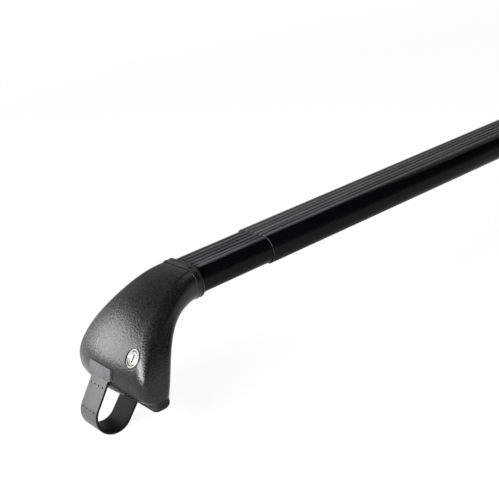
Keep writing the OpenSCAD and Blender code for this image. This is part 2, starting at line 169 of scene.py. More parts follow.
def carve(piece, tool, operation="DIFFERENCE"):
    """Cuts the tool out of the piece, or joins it on, and throws the tool away. A cut wall takes the
    tool's material if it has one."""
    modifier = piece.modifiers.new("carve", "BOOLEAN")
    if tool.data.materials:
        modifier.material_mode = "TRANSFER"
    modifier.operation, modifier.object, modifier.solver = operation, tool, "EXACT"
    bpy.context.view_layer.update()
    evaluated = piece.evaluated_get(bpy.context.evaluated_depsgraph_get())
    old, piece.data = piece.data, bpy.data.meshes.new_from_object(evaluated)
    piece.modifiers.clear()
    bpy.data.meshes.remove(old)
    bpy.data.objects.remove(tool)


def drill(piece, foot, radius, high, sides=40):
    """Cuts an upright cylinder out of a piece, from CLEAR below the point foot to the height high
    above it. A tool stands clear of the skin that it cuts, so no two faces lie on each other."""
    a = np.linspace(0, 2 * np.pi, sides, endpoint=False)
    ring = np.column_stack([radius * np.cos(a), radius * np.sin(a), np.zeros(sides)]) + np.asarray(foot)
    carve(piece, solid("drill", [ring + (0, 0, -CLEAR), ring + (0, 0, high)], capped=True))


# %% [markdown]
# ## Helpers for the two feet
#
# A foot's pieces are made for the right side, in the foot's own frame. The left one gets a copy of
# the same mesh with x and y turned about the middle of the bar.

# %% Placing a foot's piece at both ends
def in_place(u_y_z):
    """From the foot's frame to the frame of the whole bar, on the right side."""
    return np.asarray(u_y_z) + np.array([MOUTH_X, 0, AXIS_Z])


def both_sides(piece, name, body, replaced):
    """Names the right piece, copies it half a turn round for the left and lets both ride. Each
    takes the place of its own side's node in the CAD model."""
    twin = bpy.data.objects.new("left_" + name, piece.data.copy())
    twin.data.transform(Matrix.Rotation(np.pi, 4, "Z"))
    bpy.context.scene.collection.objects.link(twin)
    piece.name = "right_" + name
    for side, one in (("right_", piece), ("left_", twin)):
        one.data.name = one.name
        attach(one, side + body)
        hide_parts(side + replaced)
    print("%s: %d faces a side" % (name, len(piece.data.polygons)))


# %% [markdown]
# ## Colours and nodes
#
# Colours are written as people read them, in sRGB hex, and turned to linear light once. One small
# function adds a node, sets its sockets and links what is given.

# %% Colour and node helpers
def linear(hex_colour):
    """sRGB hex to linear RGBA: below 0.04045 a straight line, above it a power of 2.4."""
    s = np.array([int(hex_colour[i:i + 2], 16) for i in (1, 3, 5)]) / 255
    return (*np.where(s <= 0.04045, s / 12.92, ((s + 0.055) / 1.055) ** 2.4), 1.0)


def add(tree, kind, inputs=None, **settings):
    """Adds a node. settings are its properties; inputs are values or sockets to link."""
    node = tree.nodes.new(kind)
    for key, value in settings.items():
        setattr(node, key, value)
    for key, value in (inputs or {}).items():
        if isinstance(value, bpy.types.NodeSocket):
            tree.links.new(value, node.inputs[key])
        else:
            node.inputs[key].default_value = value
    return node


def calculated(tree, operation, *values):
    """One sum on sockets and numbers."""
    return add(tree, "ShaderNodeMath", dict(enumerate(values)), operation=operation).outputs[0]


def mapped(tree, value, start, end, low=0.0, high=1.0, **settings):
    """Goes from low to high as the value goes from start to end, and stays level beyond them."""
    inputs = {"Value": value, "From Min": start, "From Max": end, "To Min": low, "To Max": high}
    return add(tree, "ShaderNodeMapRange", inputs, **settings).outputs["Result"]


def ramp(tree, factor, stops):
    """A colour ramp with (position, hex colour) stops."""
    node = add(tree, "ShaderNodeValToRGB", {"Fac": factor})
    while len(node.color_ramp.elements) < len(stops):
        node.color_ramp.elements.new(0.5)
    for element, (position, colour) in zip(node.color_ramp.elements, stops):
        element.position, element.color = position, linear(colour)
    return node.outputs["Color"]


# %% [markdown]
# ## What every finish is made of
#
# Each finish is one Principled shader. What is the same all over is a number on its own socket, and
# what varies is drawn with noise on Object coordinates, which are metres on the piece itself, so a
# grain has its real size and stays put when the piece moves.

# %% Patterns on a piece, roughness and bump
def new_material(name, **shader):
    """A material with one Principled shader whose plain numbers are set on its own sockets."""
    material = bpy.data.materials.new(name)
    material.use_nodes = True
    tree = material.node_tree
    surface = tree.nodes["Principled BSDF"]
    for key, value in shader.items():
        surface.inputs[key.replace("_", " ")].default_value = value
    return material, tree, surface


def object_coordinates(tree, stretch=(1, 1, 1)):
    """Object coordinates, in metres, stretched along an axis where a grain runs."""
    place = add(tree, "ShaderNodeTexCoord").outputs["Object"]
    return add(tree, "ShaderNodeMapping", {"Vector": place, "Scale": stretch}).outputs["Vector"]


def noise(tree, size, detail, stretch=(1, 1, 1)):
    """Cloudy noise whose patches are about the given size, from 0 to 1."""
    inputs = {"Vector": object_coordinates(tree, stretch), "Scale": 1 / size, "Detail": detail}
    return add(tree, "ShaderNodeTexNoise", inputs).outputs["Fac"]


def coloured(tree, surface, factor, stops):
    """Links a base colour that follows the factor through a ramp."""
    tree.links.new(ramp(tree, factor, stops), surface.inputs["Base Color"])


def roughened(tree, surface, factor, low, high, start=0.3, end=0.7):
    """Links a roughness that goes from low to high as the factor goes from start to end."""
    tree.links.new(mapped(tree, factor, start, end, low, high), surface.inputs["Roughness"])


def raised(tree, surface, *layers):
    """Bump layers laid over each other. A layer is (height socket, strength, depth in metres)."""
    normal = None
    for height, strength, depth in layers:
        inputs = {"Height": height, "Strength": strength, "Distance": depth}
        if normal:
            inputs["Normal"] = normal
        normal = add(tree, "ShaderNodeBump", inputs).outputs["Normal"]
    tree.links.new(normal, surface.inputs["Normal"])


# %% [markdown]
# ## Painted steel of the tubes
#
# The tubes are roll-formed steel with a black powder coat. The coat flows a little as it bakes,
# which leaves a faint orange peel of one to two millimetres. Rolling leaves fine lines along the
# bar. The deck is greyer and less glossy than the sides: partly scuffs from loads, and partly a
# painted sheen on the lands, which face the light.
# The coat is a deep black that mirrors little when it is looked at squarely and more at a glance.
# The tube was cut before it was coated, and its cut rim is greyer too: partly a rubbed thin coat,
# and partly a painted highlight along the rim.

# %% Material: black powder coat
# Where the masks rise: scuffs with a painted sheen on the lands, and rub with a painted highlight on the
# cut rims.
DECK_SCUFF_AND_SHEEN_FROM, DECK_SCUFF_AND_SHEEN_TO = 1.1 * MM, 0.15 * MM
RIM_RUB_AND_HIGHLIGHT_FROM, RIM_RUB_AND_HIGHLIGHT_TO, RIM_RUB_AND_HIGHLIGHT = 0.8 * MM, 0.3 * MM, 0.35


def powder_coat(name, deck_z, end_x):
    """Black powder coat for a tube whose lands are at the height deck_z and whose cut ends are at
    end_x and its mirror. Noise times the larger of two masks, which rise towards the lands and, less
    far, towards the cut ends, turns the coat greyer and rougher: scuffs mixed with a painted sheen on
    the lands and a painted highlight on the rims."""
    material, tree, surface = new_material(name, IOR=1.5, Specular_IOR_Level=0.12)
    peel, lines = noise(tree, 1.6 * MM, 1.5), noise(tree, 0.7 * MM, 2.0, (0.02, 1, 1))
    scuffs = noise(tree, 7 * MM, 6.0, (0.1, 1, 1))
    place = add(tree, "ShaderNodeSeparateXYZ", {"Vector": object_coordinates(tree)}).outputs
    deck = mapped(tree, place["Z"], deck_z - DECK_SCUFF_AND_SHEEN_FROM, deck_z - DECK_SCUFF_AND_SHEEN_TO)
    from_middle = calculated(tree, "ABSOLUTE", place["X"])
    rim = mapped(tree, from_middle, end_x - RIM_RUB_AND_HIGHLIGHT_FROM, end_x - RIM_RUB_AND_HIGHLIGHT_TO, high=RIM_RUB_AND_HIGHLIGHT)
    scuffs_and_sheen = calculated(tree, "MULTIPLY", scuffs, calculated(tree, "MAXIMUM", deck, rim))
    # Greyer where the masks rise: painted sheen on the lands and painted highlight on the rims, mixed
    # with scuffs.
    coloured(tree, surface, scuffs_and_sheen, [(0.0, "#030304"), (0.3, "#29292a"), (0.6, "#3f3f40")])
    roughened(tree, surface, scuffs_and_sheen, 0.17, 0.42, 0.0, 0.6)
    raised(tree, surface, (peel, 0.05, 0.2 * MM), (lines, 0.1, 0.1 * MM))
    return material


# %% [markdown]
# ## Moulded plastic of the cover and the collar
#
# The cover is black polyamide, moulded in a tool whose cavity was spark-eroded. That leaves an even
# leather-like grain that turns the highlight broad and soft, and makes it sparkle. The real grain is
# about half a millimetre; it is drawn more than twice as wide, so that it shows at this size. The
# collar comes from a polished tool, so it is smoother and has hardly any grain.

# %% Materials: grained and smooth polyamide
def moulded(name, dark, light, grain, rough, depth, mirror):
    """Moulded polyamide. The bump is the distance to the nearest of cells a grain apart, times the
    depth, under a finer noise half as strong. Colour and roughness drift with a slow noise."""
    material, tree, surface = new_material(name, IOR=1.53, Specular_IOR_Level=mirror)
    inputs = {"Vector": object_coordinates(tree), "Scale": 1 / grain}
    cells = add(tree, "ShaderNodeTexVoronoi", inputs, feature="SMOOTH_F1").outputs["Distance"]
    cloud, fine = noise(tree, 1.7 * grain, 3.0), noise(tree, 0.6 * grain, 2.0)
    coloured(tree, surface, cloud, [(0.3, dark), (0.7, light)])
    roughened(tree, surface, cloud, rough - 0.05, rough + 0.05)
    raised(tree, surface, (cells, depth, 0.3 * MM), (fine, 0.5 * depth, 0.2 * MM))
    return material


# %% [markdown]
# ## Rubber of the pad, the strap and the grip
#
# All three are EPDM rubber. It is matte and a little grey, and handling leaves paler smears on it.
# The pad is darker than the strap, whose outer skin was pressed against a finely sanded plate. The
# strap's inner side and its edges get a nearly black copy of the rubber: painted shade, where the
# loop shades itself. The grip's mould was milled in fine slanting lines, which are drawn about four
# millimetres apart, so that they show at this size.

# %% Material: EPDM rubber
MILLING, SLANT = 9 * MM, 0.8


def epdm(name, dark, light, rough, mirror, milled=False):
    """EPDM rubber: smears of noise drift its colour and roughness, and fine noise is its skin. milled
    adds a sine wave along y plus SLANT times z, with one line every 0.63 MILLING."""
    material, tree, surface = new_material(name, IOR=1.52, Specular_IOR_Level=mirror)
    smears, skin = noise(tree, 14 * MM, 6.0), noise(tree, 1.2 * MM, 2.0)
    coloured(tree, surface, smears, [(0.35, dark), (0.65, light)])
    roughened(tree, surface, smears, rough - 0.05, rough + 0.05)
    layers = [(skin, 0.3, 0.15 * MM)]
    if milled:
        place = object_coordinates(tree, (0, 1, SLANT))
        inputs = {"Vector": place, "Scale": 1 / MILLING, "Distortion": 0.6}
        lines = add(tree, "ShaderNodeTexWave", inputs, bands_direction="DIAGONAL").outputs["Fac"]
        layers.append((lines, 0.9, 0.3 * MM))
    raised(tree, surface, *layers)
    return material


# %% [markdown]
# ## Metals of the lock, the screws and the core
#
# The lock's face is die-cast zinc with a satin plating. The screws and washers are steel with bright
# zinc plating, which clouds a little. The core is pressed steel, galvanised, so it shows dull
# patches.

# %% Material: plated and galvanised metal
def plated(name, dark, light, patch, rough):
    """Metal in patches of noise, which change its colour and roughness and are slightly raised."""
    material, tree, surface = new_material(name, Metallic=1.0)
    patches = noise(tree, patch, 4.0)
    coloured(tree, surface, patches, [(0.3, dark), (0.7, light)])
    roughened(tree, surface, patches, rough - 0.08, rough + 0.08)
    raised(tree, surface, (patches, 0.15, 0.1 * MM))
    return material


# %% [markdown]
# ## The finishes of this bar
#
# The functions above now make the finishes that this bar has. The inner tubes have the coat of the
# outer one at their own height. Their cut ends are hidden in the outer tube and in the feet, so the
# rim's mix of rub and painted highlight is put past them. The pieces that come over from the CAD
# model get the finish of the slot that the record names for them.

# %% The finishes
land_z = AXIS_Z + TUBE_H / 2
coat = powder_coat("black_powder_coat", land_z, tube_high[0])
inner_coat = powder_coat("inner_black_powder_coat", land_z - OUTER_WALL - SLIDE_GAP, cover_high[0])
grained = moulded("grained_black_polyamide", "#09090a", "#101011", 1.3 * MM, 0.27, 0.42, 0.34)
satin = moulded("satin_black_polyamide", "#09090a", "#0d0d0e", 2.0 * MM, 0.28, 0.01, 0.28)
pad_rubber = epdm("black_epdm_pad", "#101010", "#171717", 0.6, 0.22)
strap_rubber = epdm("grey_epdm_strap", "#29292a", "#343435", 0.48, 0.45)
# A nearly black copy of the strap rubber for the band's inner side and edges: painted shade.
strap_painted_shade = epdm("painted_shade_black_epdm_strap", "#080808", "#0d0d0e", 0.55, 0.08)
grip_rubber = epdm("milled_epdm_grip", "#363637", "#414142", 0.5, 0.45, milled=True)
cast_zinc = plated("satin_die_cast_zinc", "#747472", "#91918e", 3.0 * MM, 0.5)
# The keyway's walls: dark metal as painted shade in the slot.
keyway_painted_shade = plated("painted_shade_keyway", "#141414", "#1d1d1d", 1.0 * MM, 0.5)
bright_zinc = plated("zinc_plated_steel", "#8f9294", "#b4b7b8", 2.0 * MM, 0.32)
galvanised = plated("galvanised_steel", "#6f7274", "#8e9193", 7.0 * MM, 0.5)
SLOT_FINISH = {"tube_black": coat, "textured_cover": grained, "black_plastic": satin,
               "black_rubber": pad_rubber, "strap_rubber": strap_rubber, "steel_core": galvanised,
               "plated_steel": bright_zinc, "zinc": cast_zinc}


def finish(piece, material):
    """Gives the whole piece one material."""
    piece.data.materials.clear()
    piece.data.materials.append(material)
    return piece


for subpart in frame["record"]["subparts"]:
    finish(frame["nodes"][subpart["node"]], SLOT_FINISH[subpart["material_slot"]])
print("finished", len(frame["nodes"]), "carried-over pieces")

# %% [markdown]
# ## The tubes
#
# Both tubes share one section: a flat oval whose deck is rolled down into five grooves. A rolled
# sheet has no sharp corner, so the edges of the lands are rounded with a smooth minimum, and those
# soft edges catch the light as thin lines. The section is carried along the bar, with a small
# rounding where each tube was cut.

# %% The section of the tubes
LAND_SOFT = 0.35 * MM


def smooth_min(a, b, blend):
    """The lower of a and b, with their crossing rounded over the distance blend."""
    h = np.clip(0.5 + 0.5 * (b - a) / blend, 0, 1)
    return b * (1 - h) + a * h - blend * h * (1 - h)


def section(inset, deck_points=241, side_points=40):
    """The tube's outline in y and z, inset from the outer skin. The deck's height is the smooth
    minimum of a plane and, over each groove, the lower half of a circle; the sides are half circles."""
    half_h, flat = TUBE_H / 2 - inset, (TUBE_W - TUBE_H) / 2
    y = np.linspace(flat, -flat, deck_points)
    z = np.full_like(y, half_h)
    radius = GROOVE_R + inset
    for k in range(GROOVES):
        off = y - (k - (GROOVES - 1) / 2) * GROOVE_PITCH
        dip = TUBE_H / 2 + GROOVE_R - GROOVE_DEPTH - np.sqrt(np.maximum(radius ** 2 - off ** 2, 0))
        z = smooth_min(z, np.where(np.abs(off) < radius, dip, TUBE_H), LAND_SOFT)
    a = np.radians(np.linspace(90, 270, side_points + 1)[1:])
    left = np.stack([-flat + half_h * np.cos(a), half_h * np.sin(a)], 1)
    b = np.radians(np.linspace(-90, 90, side_points + 1)[:-1])
    right = np.stack([flat + half_h * np.cos(b), half_h * np.sin(b)], 1)
    return np.concatenate([np.stack([y, z], 1), left, right])


def tube(name, x0, x1, inset, wall):
    """A length of tube: the outer skin from end to end, back along the inner one, with the four
    rims rounded by a quarter of the wall."""
    soft, back = wall / 4, inset + wall
    steps = [(x0, inset + soft), (x0 + soft, inset), (x1 - soft, inset), (x1, inset + soft),
             (x1, back - soft), (x1 - soft, back), (x0 + soft, back), (x0, back - soft)]
    rows = []
    for x, depth in steps:
        outline = section(depth)
        rows.append(np.column_stack([np.full(len(outline), x), outline[:, 0], outline[:, 1] + AXIS_Z]))
    return solid(name, rows, capped=False)


# %% [markdown]
# ## The outer tube
#
# The outer tube is one straight length. Near each end a stop pin goes through a hole in its
# underside and keeps the inner tube from being pulled out.

# %% The outer tube
STOP_PIN_D, STOP_PIN_BACK, PIN_HOLE_TO = 5 * MM, 20 * MM, 2 * MM
outer = tube("outer_tube_skin", tube_low[0], tube_high[0], 0, OUTER_WALL)
for x in (tube_low[0] + STOP_PIN_BACK, tube_high[0] - STOP_PIN_BACK):
    drill(outer, (x, 0, AXIS_Z - TUBE_H / 2), STOP_PIN_D / 2, PIN_HOLE_TO)
smooth(finish(outer, coat), 50)
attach(outer, "bar")
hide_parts("outer_tube")
print("outer tube %.0f mm" % ((tube_high[0] - tube_low[0]) / MM))

# %% [markdown]
# ## The inner tubes
#
# An inner tube has the same section, one wall and a sliding gap smaller. The stop pin runs in a slot
# in its underside that is as long as the travel, with round ends. Two screws from below hold it on
# the foot's spigot.

# %% The two inner tubes, each with its slot and its screw holes
TRAVEL_IN, TRAVEL_OUT = 50 * MM, 100 * MM
SPIGOT_SCREW_BACK, SPIGOT_SCREW_Y, SPIGOT_SCREW_R, SPIGOT_HOLE_TO = 13 * MM, 9 * MM, 1.75 * MM, 3 * MM
inner_low, inner_high = (np.array(c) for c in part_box("right_inner_tube"))
inner = tube("inner_tube", inner_low[0], inner_high[0], OUTER_WALL + SLIDE_GAP, INNER_WALL)
pin_x, slot_half = tube_high[0] - STOP_PIN_BACK, STOP_PIN_D / 2 + FREE
bend = np.radians(np.linspace(90, 270, 21))
run = np.concatenate([
    np.stack([pin_x - TRAVEL_OUT + slot_half * np.cos(bend), slot_half * np.sin(bend)], 1),
    np.stack([pin_x + TRAVEL_IN - slot_half * np.cos(bend), -slot_half * np.sin(bend)], 1)])
slot_rows = [np.column_stack([run, np.full(len(run), z)]) for z in (AXIS_Z - TUBE_H / 2, AXIS_Z)]
carve(inner, solid("stop_slot", slot_rows, capped=True))
for side in (-1, 1):
    under = (MOUTH_X - SPIGOT_SCREW_BACK, side * SPIGOT_SCREW_Y, inner_low[2])
    drill(inner, under, SPIGOT_SCREW_R + FIT, SPIGOT_HOLE_TO)
smooth(finish(inner, inner_coat), 50)
both_sides(inner, "inner_tube_skin", "foot", "inner_tube")
print("inner tube %.0f mm" % ((inner_high[0] - inner_low[0]) / MM))

# %% [markdown]
# ## The foot cover
#
# The cover grows from the flat oval of the bar into a wide, bowed foot. It is a loft: one curve
# runs over the shoulder to the chin and curls under, another runs down the throat, and at each
# stage a rounded rectangle stands between them. Many thin stages make the highlight run without a
# facet. The wall, the hole of the lock and the pocket of the grip are then cut as in the real one.

# %% The two profiles
CHIN = (CHIN_REACH, -CHIN_DROP)
SHOULDER = [(0, MOUTH_HALF_H), (0.41 * CHIN_REACH, MOUTH_HALF_H),
            (CHIN_REACH - 1.5 * MM, -0.52 * CHIN_DROP), CHIN]
CURL = [CHIN, (CHIN_REACH + 0.5 * MM, -CHIN_DROP - 10 * MM), (BASE_OUT + 10 * MM, -BASE_DROP + 2 * MM),
        (BASE_OUT, -BASE_DROP)]
THROAT = [(0, -MOUTH_HALF_H), (34 * MM, -MOUTH_HALF_H), (43 * MM, -MOUTH_HALF_H - 8 * MM),
          (BASE_IN, -BASE_DROP)]


def bezier(points, t):
    """Cubic Bezier curve: the four points weighted by the Bernstein polynomials of t."""
    p, t = np.asarray(points, float), np.asarray(t, float)[..., None]
    return (1 - t) ** 3 * p[0] + 3 * t * (1 - t) ** 2 * p[1] + 3 * t ** 2 * (1 - t) * p[2] + t ** 3 * p[3]


def outer_profile(t):
    """Over the shoulder down to the chin, where t is CHIN_AT, then the curl back to the base."""
    t = np.asarray(t, float)
    upper = bezier(SHOULDER, np.minimum(t / CHIN_AT, 1))
    lower = bezier(CURL, np.maximum(t - CHIN_AT, 0) / (1 - CHIN_AT))
    return np.where((t < CHIN_AT)[..., None], upper, lower)


def inner_profile(t):
    """The throat, from the underside of the mouth to the inner edge of the base."""
    return bezier(THROAT, t)


# %% The rings between the profiles
QUARTERS = ((1, 1, 0), (-1, 1, 90), (-1, -1, 180), (1, -1, 270))  # signs of a corner, and its first angle


def ease(t):
    """Smooth step of t to the power 0.7: how far the section has grown from mouth to base."""
    s = np.asarray(t, float) ** 0.7
    return s * s * (3 - 2 * s)


def half_width(t):
    """Half the width of the cover, from the mouth's to the base's as ease(t) goes from 0 to 1."""
    return MOUTH_HALF_W + (BASE_HALF_W - MOUTH_HALF_W) * ease(t)


def bow(t):
    """How far the outer face is bowed at stage t. Past the chin it fades with the square of the
    way to the base, which is flat."""
    return FACE_BOW * ease(t) * (1 - (np.maximum(0, np.asarray(t, float) - CHIN_AT) / (1 - CHIN_AT)) ** 2)


def rings(t, inset, corner_steps=14, face_steps=36):
    """A rounded rectangle for every stage in t, with every side moved in by the inset. The corner
    radii follow ease(t), to a smaller one beside the outer face than behind it, less 0.8 of the
    inset; the outer side is pulled back by the bow times the square of y over the half width."""
    t = np.atleast_1d(np.asarray(t, float))
    o, i = outer_profile(t), inner_profile(t)
    middle, span = (o + i) / 2, np.linalg.norm(o - i, axis=1)[:, None]
    d, half = (o - i) / span, span / 2 - inset
    w = half_width(t)[:, None] - inset
    face_r, back_r = (
        np.minimum((MOUTH_R + (end - MOUTH_R) * ease(t))[:, None] - 0.8 * inset, 0.98 * half)
        for end in (FACE_R, BASE_R))
    a = np.radians(np.linspace(0, 90, corner_steps + 1))[None, :]
    y, b = [], []
    for (sy, sb, start), r in zip(QUARTERS, (face_r, face_r, back_r, back_r)):
        y.append(sy * (w - r) + r * np.cos(a + np.radians(start)))
        b.append(sb * (half - r) + r * np.sin(a + np.radians(start)))
        if start == 0:
            across = 1 - 2 * np.arange(1, face_steps) / face_steps
            y.append((w - r) * across[None, :])
            b.append(half + 0 * y[-1])
    y, b = np.concatenate(y, 1), np.concatenate(b, 1)
    b = b - bow(t)[:, None] * (y / w) ** 2 * (b + half) / (2 * half)
    return np.stack([middle[:, :1] + d[:, :1] * b, y, middle[:, 1:] + d[:, 1:] * b], axis=-1)


# %% [markdown]
# ## Frames of the lock and of the grip
#
# The lock and the grip lie on the bowed face, at its own slant. Each gets a frame on the face, so
# its pieces and its pocket are drawn square to it. The lock's frame stands on its joint's line.

# %% Frames on the cover's face
def face_point(t, y):
    """The point of the outer face at stage t and distance y from its middle."""
    o, i = outer_profile(np.array([t]))[0], inner_profile(np.array([t]))[0]
    d = (o - i) / np.linalg.norm(o - i)
    p = o - d * bow(t) * (y / half_width(t)) ** 2
    return np.array([p[0], y, p[1]])


def face_tilt(t):
    """How far the face leans back from upright at stage t, in radians, from a point a hundredth of
    the way before it and one after it."""
    v = outer_profile(np.array([t + 0.01]))[0] - outer_profile(np.array([t - 0.01]))[0]
    return np.arctan2(v[0], -v[1])


def placed(origin, x, y, z, axes):
    """The origin plus x, y and z times the three axes of a frame."""
    parts = [np.multiply.outer(v, np.array(axis)) for v, axis in zip((x, y, z), axes)]
    return origin + parts[0] + parts[1] + parts[2]


def on_lock(x, y, z):
    """From the lock's frame to the foot's frame. Its z is the line that the key turns about, and
    its x runs down the face."""
    c, s = np.cos(LOCK_TILT), np.sin(LOCK_TILT)
    return placed(LOCK_PLACE, x, y, z, [(s, 0, -c), (0, 1, 0), (c, 0, s)])


def on_tab(x, y, z):
    """From the grip's frame, with x out of the face and z up it, to the foot's frame."""
    c, s = np.cos(face_tilt(TAB_AT)), np.sin(face_tilt(TAB_AT))
    return placed(face_point(TAB_AT, 0), x, y, z, [(c, 0, s), (0, 1, 0), (-s, 0, c)])


# %% Solids in those frames
def turned(name, profile, capped=True, sides=96):
    """A turned solid on the lock's axis. profile is (radius, height) pairs from one end to the other,
    or round the wall of a ring."""
    a = np.linspace(0, 2 * np.pi, sides, endpoint=False)
    rows = [in_place(on_lock(r * np.cos(a), r * np.sin(a), np.full(sides, h))) for r, h in profile]
    return solid(name, rows, capped)


def plate(name, layers, radius, steps=8):
    """A rounded plate in the grip's frame. layers are (x, z low, z high, width) from its back to its
    front, and each corner is a quarter circle of the radius, less half of what the width lost."""
    a = np.radians(np.linspace(0, 90, steps + 1))
    rows = []
    for x, low, high, width in layers:
        r = max(radius - (layers[0][3] - width) / 2, 0.2 * MM)
        y, z = [], []
        for sy, sz, start in QUARTERS:
            y.append(sy * (width / 2 - r) + r * np.cos(a + np.radians(start)))
            z.append((high - r if sz > 0 else low + r) + r * np.sin(a + np.radians(start)))
        y, z = np.concatenate(y), np.concatenate(z)
        rows.append(in_place(on_tab(np.full_like(y, x), y, z)))
    return solid(name, rows, capped=True)


def block(name, back, front, low, high, width, radius):
    """A plate with straight sides, as a tool for a pocket."""
    return plate(name, [(x, low, high, width) for x in (back, front)], radius)


# %% [markdown]
# ## The cover's shell
#
# The shell is one skin out over the loft and back along a smaller one, a wall further in, with its
# two edges rounded. A boss round the lock and the walls of the grip's pocket are joined on inside,
# and then the hole, the pocket and the way of the strap are cut.

# %% The cover's shell with its lock hole and grip pocket
STAGES = 120
MOUTH_EDGE = ((0.0, 0.35 * MM), (0.004, 0.1 * MM))
BASE_EDGE = ((0.992, 0.0), (0.9985, 0.15 * MM), (1.0, 0.55 * MM))
stages = np.linspace(0, 1, STAGES + 1)
shell_rows = np.concatenate([
    *(rings(t, inset) for t, inset in MOUTH_EDGE), rings(stages[1:-1], 0),
    *(rings(t, inset) for t, inset in BASE_EDGE), rings(stages[::-1], COVER_WALL)])
cover = solid("foot_cover_shell", in_place(shell_rows), capped=False)

CUT = 20 * MM
BOSS_FROM, BOSS_TO, BOSS_WALL = 3 * MM, 7 * MM, 2 * MM
boss_r, hole_r = SLEEVE_D / 2 + BOSS_WALL, SLEEVE_D / 2 + FIT
carve(cover, turned("boss", [(boss_r, -BOSS_TO), (boss_r, -BOSS_FROM)]), "UNION")
carve(cover, turned("lock_hole", [(hole_r, -BOSS_TO - CLEAR), (hole_r, CUT)]))

TAB_T, TAB_RIM, POCKET_WALL, WALLS_R = 5 * MM, 2.5 * MM, 2 * MM, 0.5 * MM
STRAP_DEPTH, STRAP_WAY_BELOW, WAY_R = 0.9 * MM, 6 * MM, 0.3 * MM
TAB_IN, tab_half = TAB_T - TAB_PROUD, TAB_H / 2
carve(cover, block("pocket_walls", -TAB_IN - POCKET_WALL, -POCKET_WALL, -tab_half - TAB_RIM,
                   tab_half + TAB_RIM, TAB_W + 2 * TAB_RIM, WALLS_R), "UNION")
carve(cover, block("pocket", -TAB_IN - FREE, CUT, -tab_half - FREE, tab_half + FREE, TAB_W + 2 * FREE,
                   TAB_R + FREE))
carve(cover, block("strap_way", -STRAP_DEPTH - STRAP_T / 2 - FREE, CUT, -TAB_H - STRAP_WAY_BELOW, 0,
                   STRAP_W + 2 * FREE, WAY_R))
smooth(finish(cover, grained), 32)
both_sides(cover, "foot_cover_skin", "foot", "foot_cover")

# %% [markdown]
# ## The collar
#
# A ring of satin plastic hides the joint between tube and cover. It has two rounded lips with a
# shallow channel between them. Its section is a closed line in u and height, carried round the
# tube's outline.

# %% The collar as a section carried round the tube
COLLAR_LEN, LIP, LIP_PROUD, CHANNEL_PROUD = 6 * MM, 1.8 * MM, 1.1 * MM, 0.5 * MM
COLLAR_IN = -(OUTER_WALL + SLIDE_GAP - FIT)
# Each lip is a row of points, in parts of its width and of its height. The tube's counts from the
# collar's free end, and the cover's from the mouth.
tube_lip = np.array([(0, 0.7), (0.15, 0.93), (0.35, 1), (0.7, 1), (0.9, 0.9)]) * (LIP, LIP_PROUD)
cover_lip = np.array([(-0.9, 0.9), (-0.7, 1), (-0.3, 1), (-0.1, 0.93), (0, 0.75)]) * (LIP, LIP_PROUD)


def oval(proud, points=72):
    """The bar's outline without its grooves, grown by proud: two half circles and two straights."""
    r, flat = TUBE_H / 2 + proud, (TUBE_W - TUBE_H) / 2
    a = np.radians(np.concatenate([np.linspace(-90, 90, points), np.linspace(90, 270, points)]))
    y = np.where(np.arange(2 * points) < points, flat, -flat) + r * np.cos(a)
    return np.stack([y, r * np.sin(a)], 1)


collar_section = [
    (-COLLAR_LEN, COLLAR_IN), *(tube_lip - (COLLAR_LEN, 0)), (-COLLAR_LEN + LIP, CHANNEL_PROUD),
    (-LIP, CHANNEL_PROUD), *cover_lip, (0.0, COLLAR_IN)]
collar_rows = []
for u, proud in collar_section:
    outline = oval(proud)
    collar_rows.append(in_place(np.column_stack([np.full(len(outline), u), outline])))
collar = smooth(finish(solid("collar", collar_rows, capped=False), satin), 40)
both_sides(collar, "collar_ring", "foot", "collar")

# %% [markdown]
# ## The rail pad
#
# The pad is a rubber block under the cover, with the cover's own outline. A parting line runs
# round it where the mould closed, its lower edge is rounded, and a trough along its underside
# seats on the rail. The strap comes down through a slot in it, and two screws hold it from below.

# %% The pad's block
PAD_INSET, PAD_EDGE_R = 0.8 * MM, 4 * MM
SEAM, SEAM_SPAN = 0.7 * MM, 0.5 * MM
LINE, LINE_SPAN, LINE_AT = 0.35 * MM, 0.35 * MM, 0.42
PAD_BOTTOM = -BASE_DROP - PAD_T


def pad_edge(depth):
    """Inset of the pad's side at a depth below its top. A bell curve rounds the upper edge, which
    leaves a dark seam under the cover, another is the fine parting line, and a quarter circle rounds
    the lower edge."""
    seam = SEAM * np.exp(-(depth / SEAM_SPAN) ** 2)
    line = LINE * np.exp(-((depth - LINE_AT * PAD_T) / LINE_SPAN) ** 2)
    low = np.maximum(depth - (PAD_T - PAD_EDGE_R), 0)
    return PAD_INSET + seam + line + PAD_EDGE_R - np.sqrt(np.maximum(PAD_EDGE_R ** 2 - low ** 2, 0))


depths = np.concatenate([np.linspace(0, PAD_T - PAD_EDGE_R, 40),
                         PAD_T - PAD_EDGE_R * (1 - np.sin(np.radians(np.arange(7.5, 91, 7.5))))])
pad_rows = []
for depth in depths:
    outline = rings(1.0, pad_edge(depth))[0][:, :2]
    pad_rows.append(in_place(np.column_stack([outline, np.full(len(outline), -BASE_DROP - depth)])))
pad = solid("pad", pad_rows, capped=True)

# %% The pad's trough, slot and screw holes
TROUGH_R, TROUGH, SLOT_FIT, BEND_ROOM = 22 * MM, 1.2 * MM, 0.6 * MM, 3.8 * MM
PAD_MID = (BASE_IN + BASE_OUT) / 2
a = np.linspace(0, 2 * np.pi, 160, endpoint=False)
trough_u = PAD_MID + TROUGH_R * np.cos(a)
trough_z = PAD_BOTTOM - TROUGH_R + TROUGH + TROUGH_R * np.sin(a)
trough_rows = [in_place(np.column_stack([trough_u, np.full_like(a, y), trough_z]))
               for y in (-2 * BASE_HALF_W, 2 * BASE_HALF_W)]
carve(pad, solid("trough", trough_rows, capped=True))

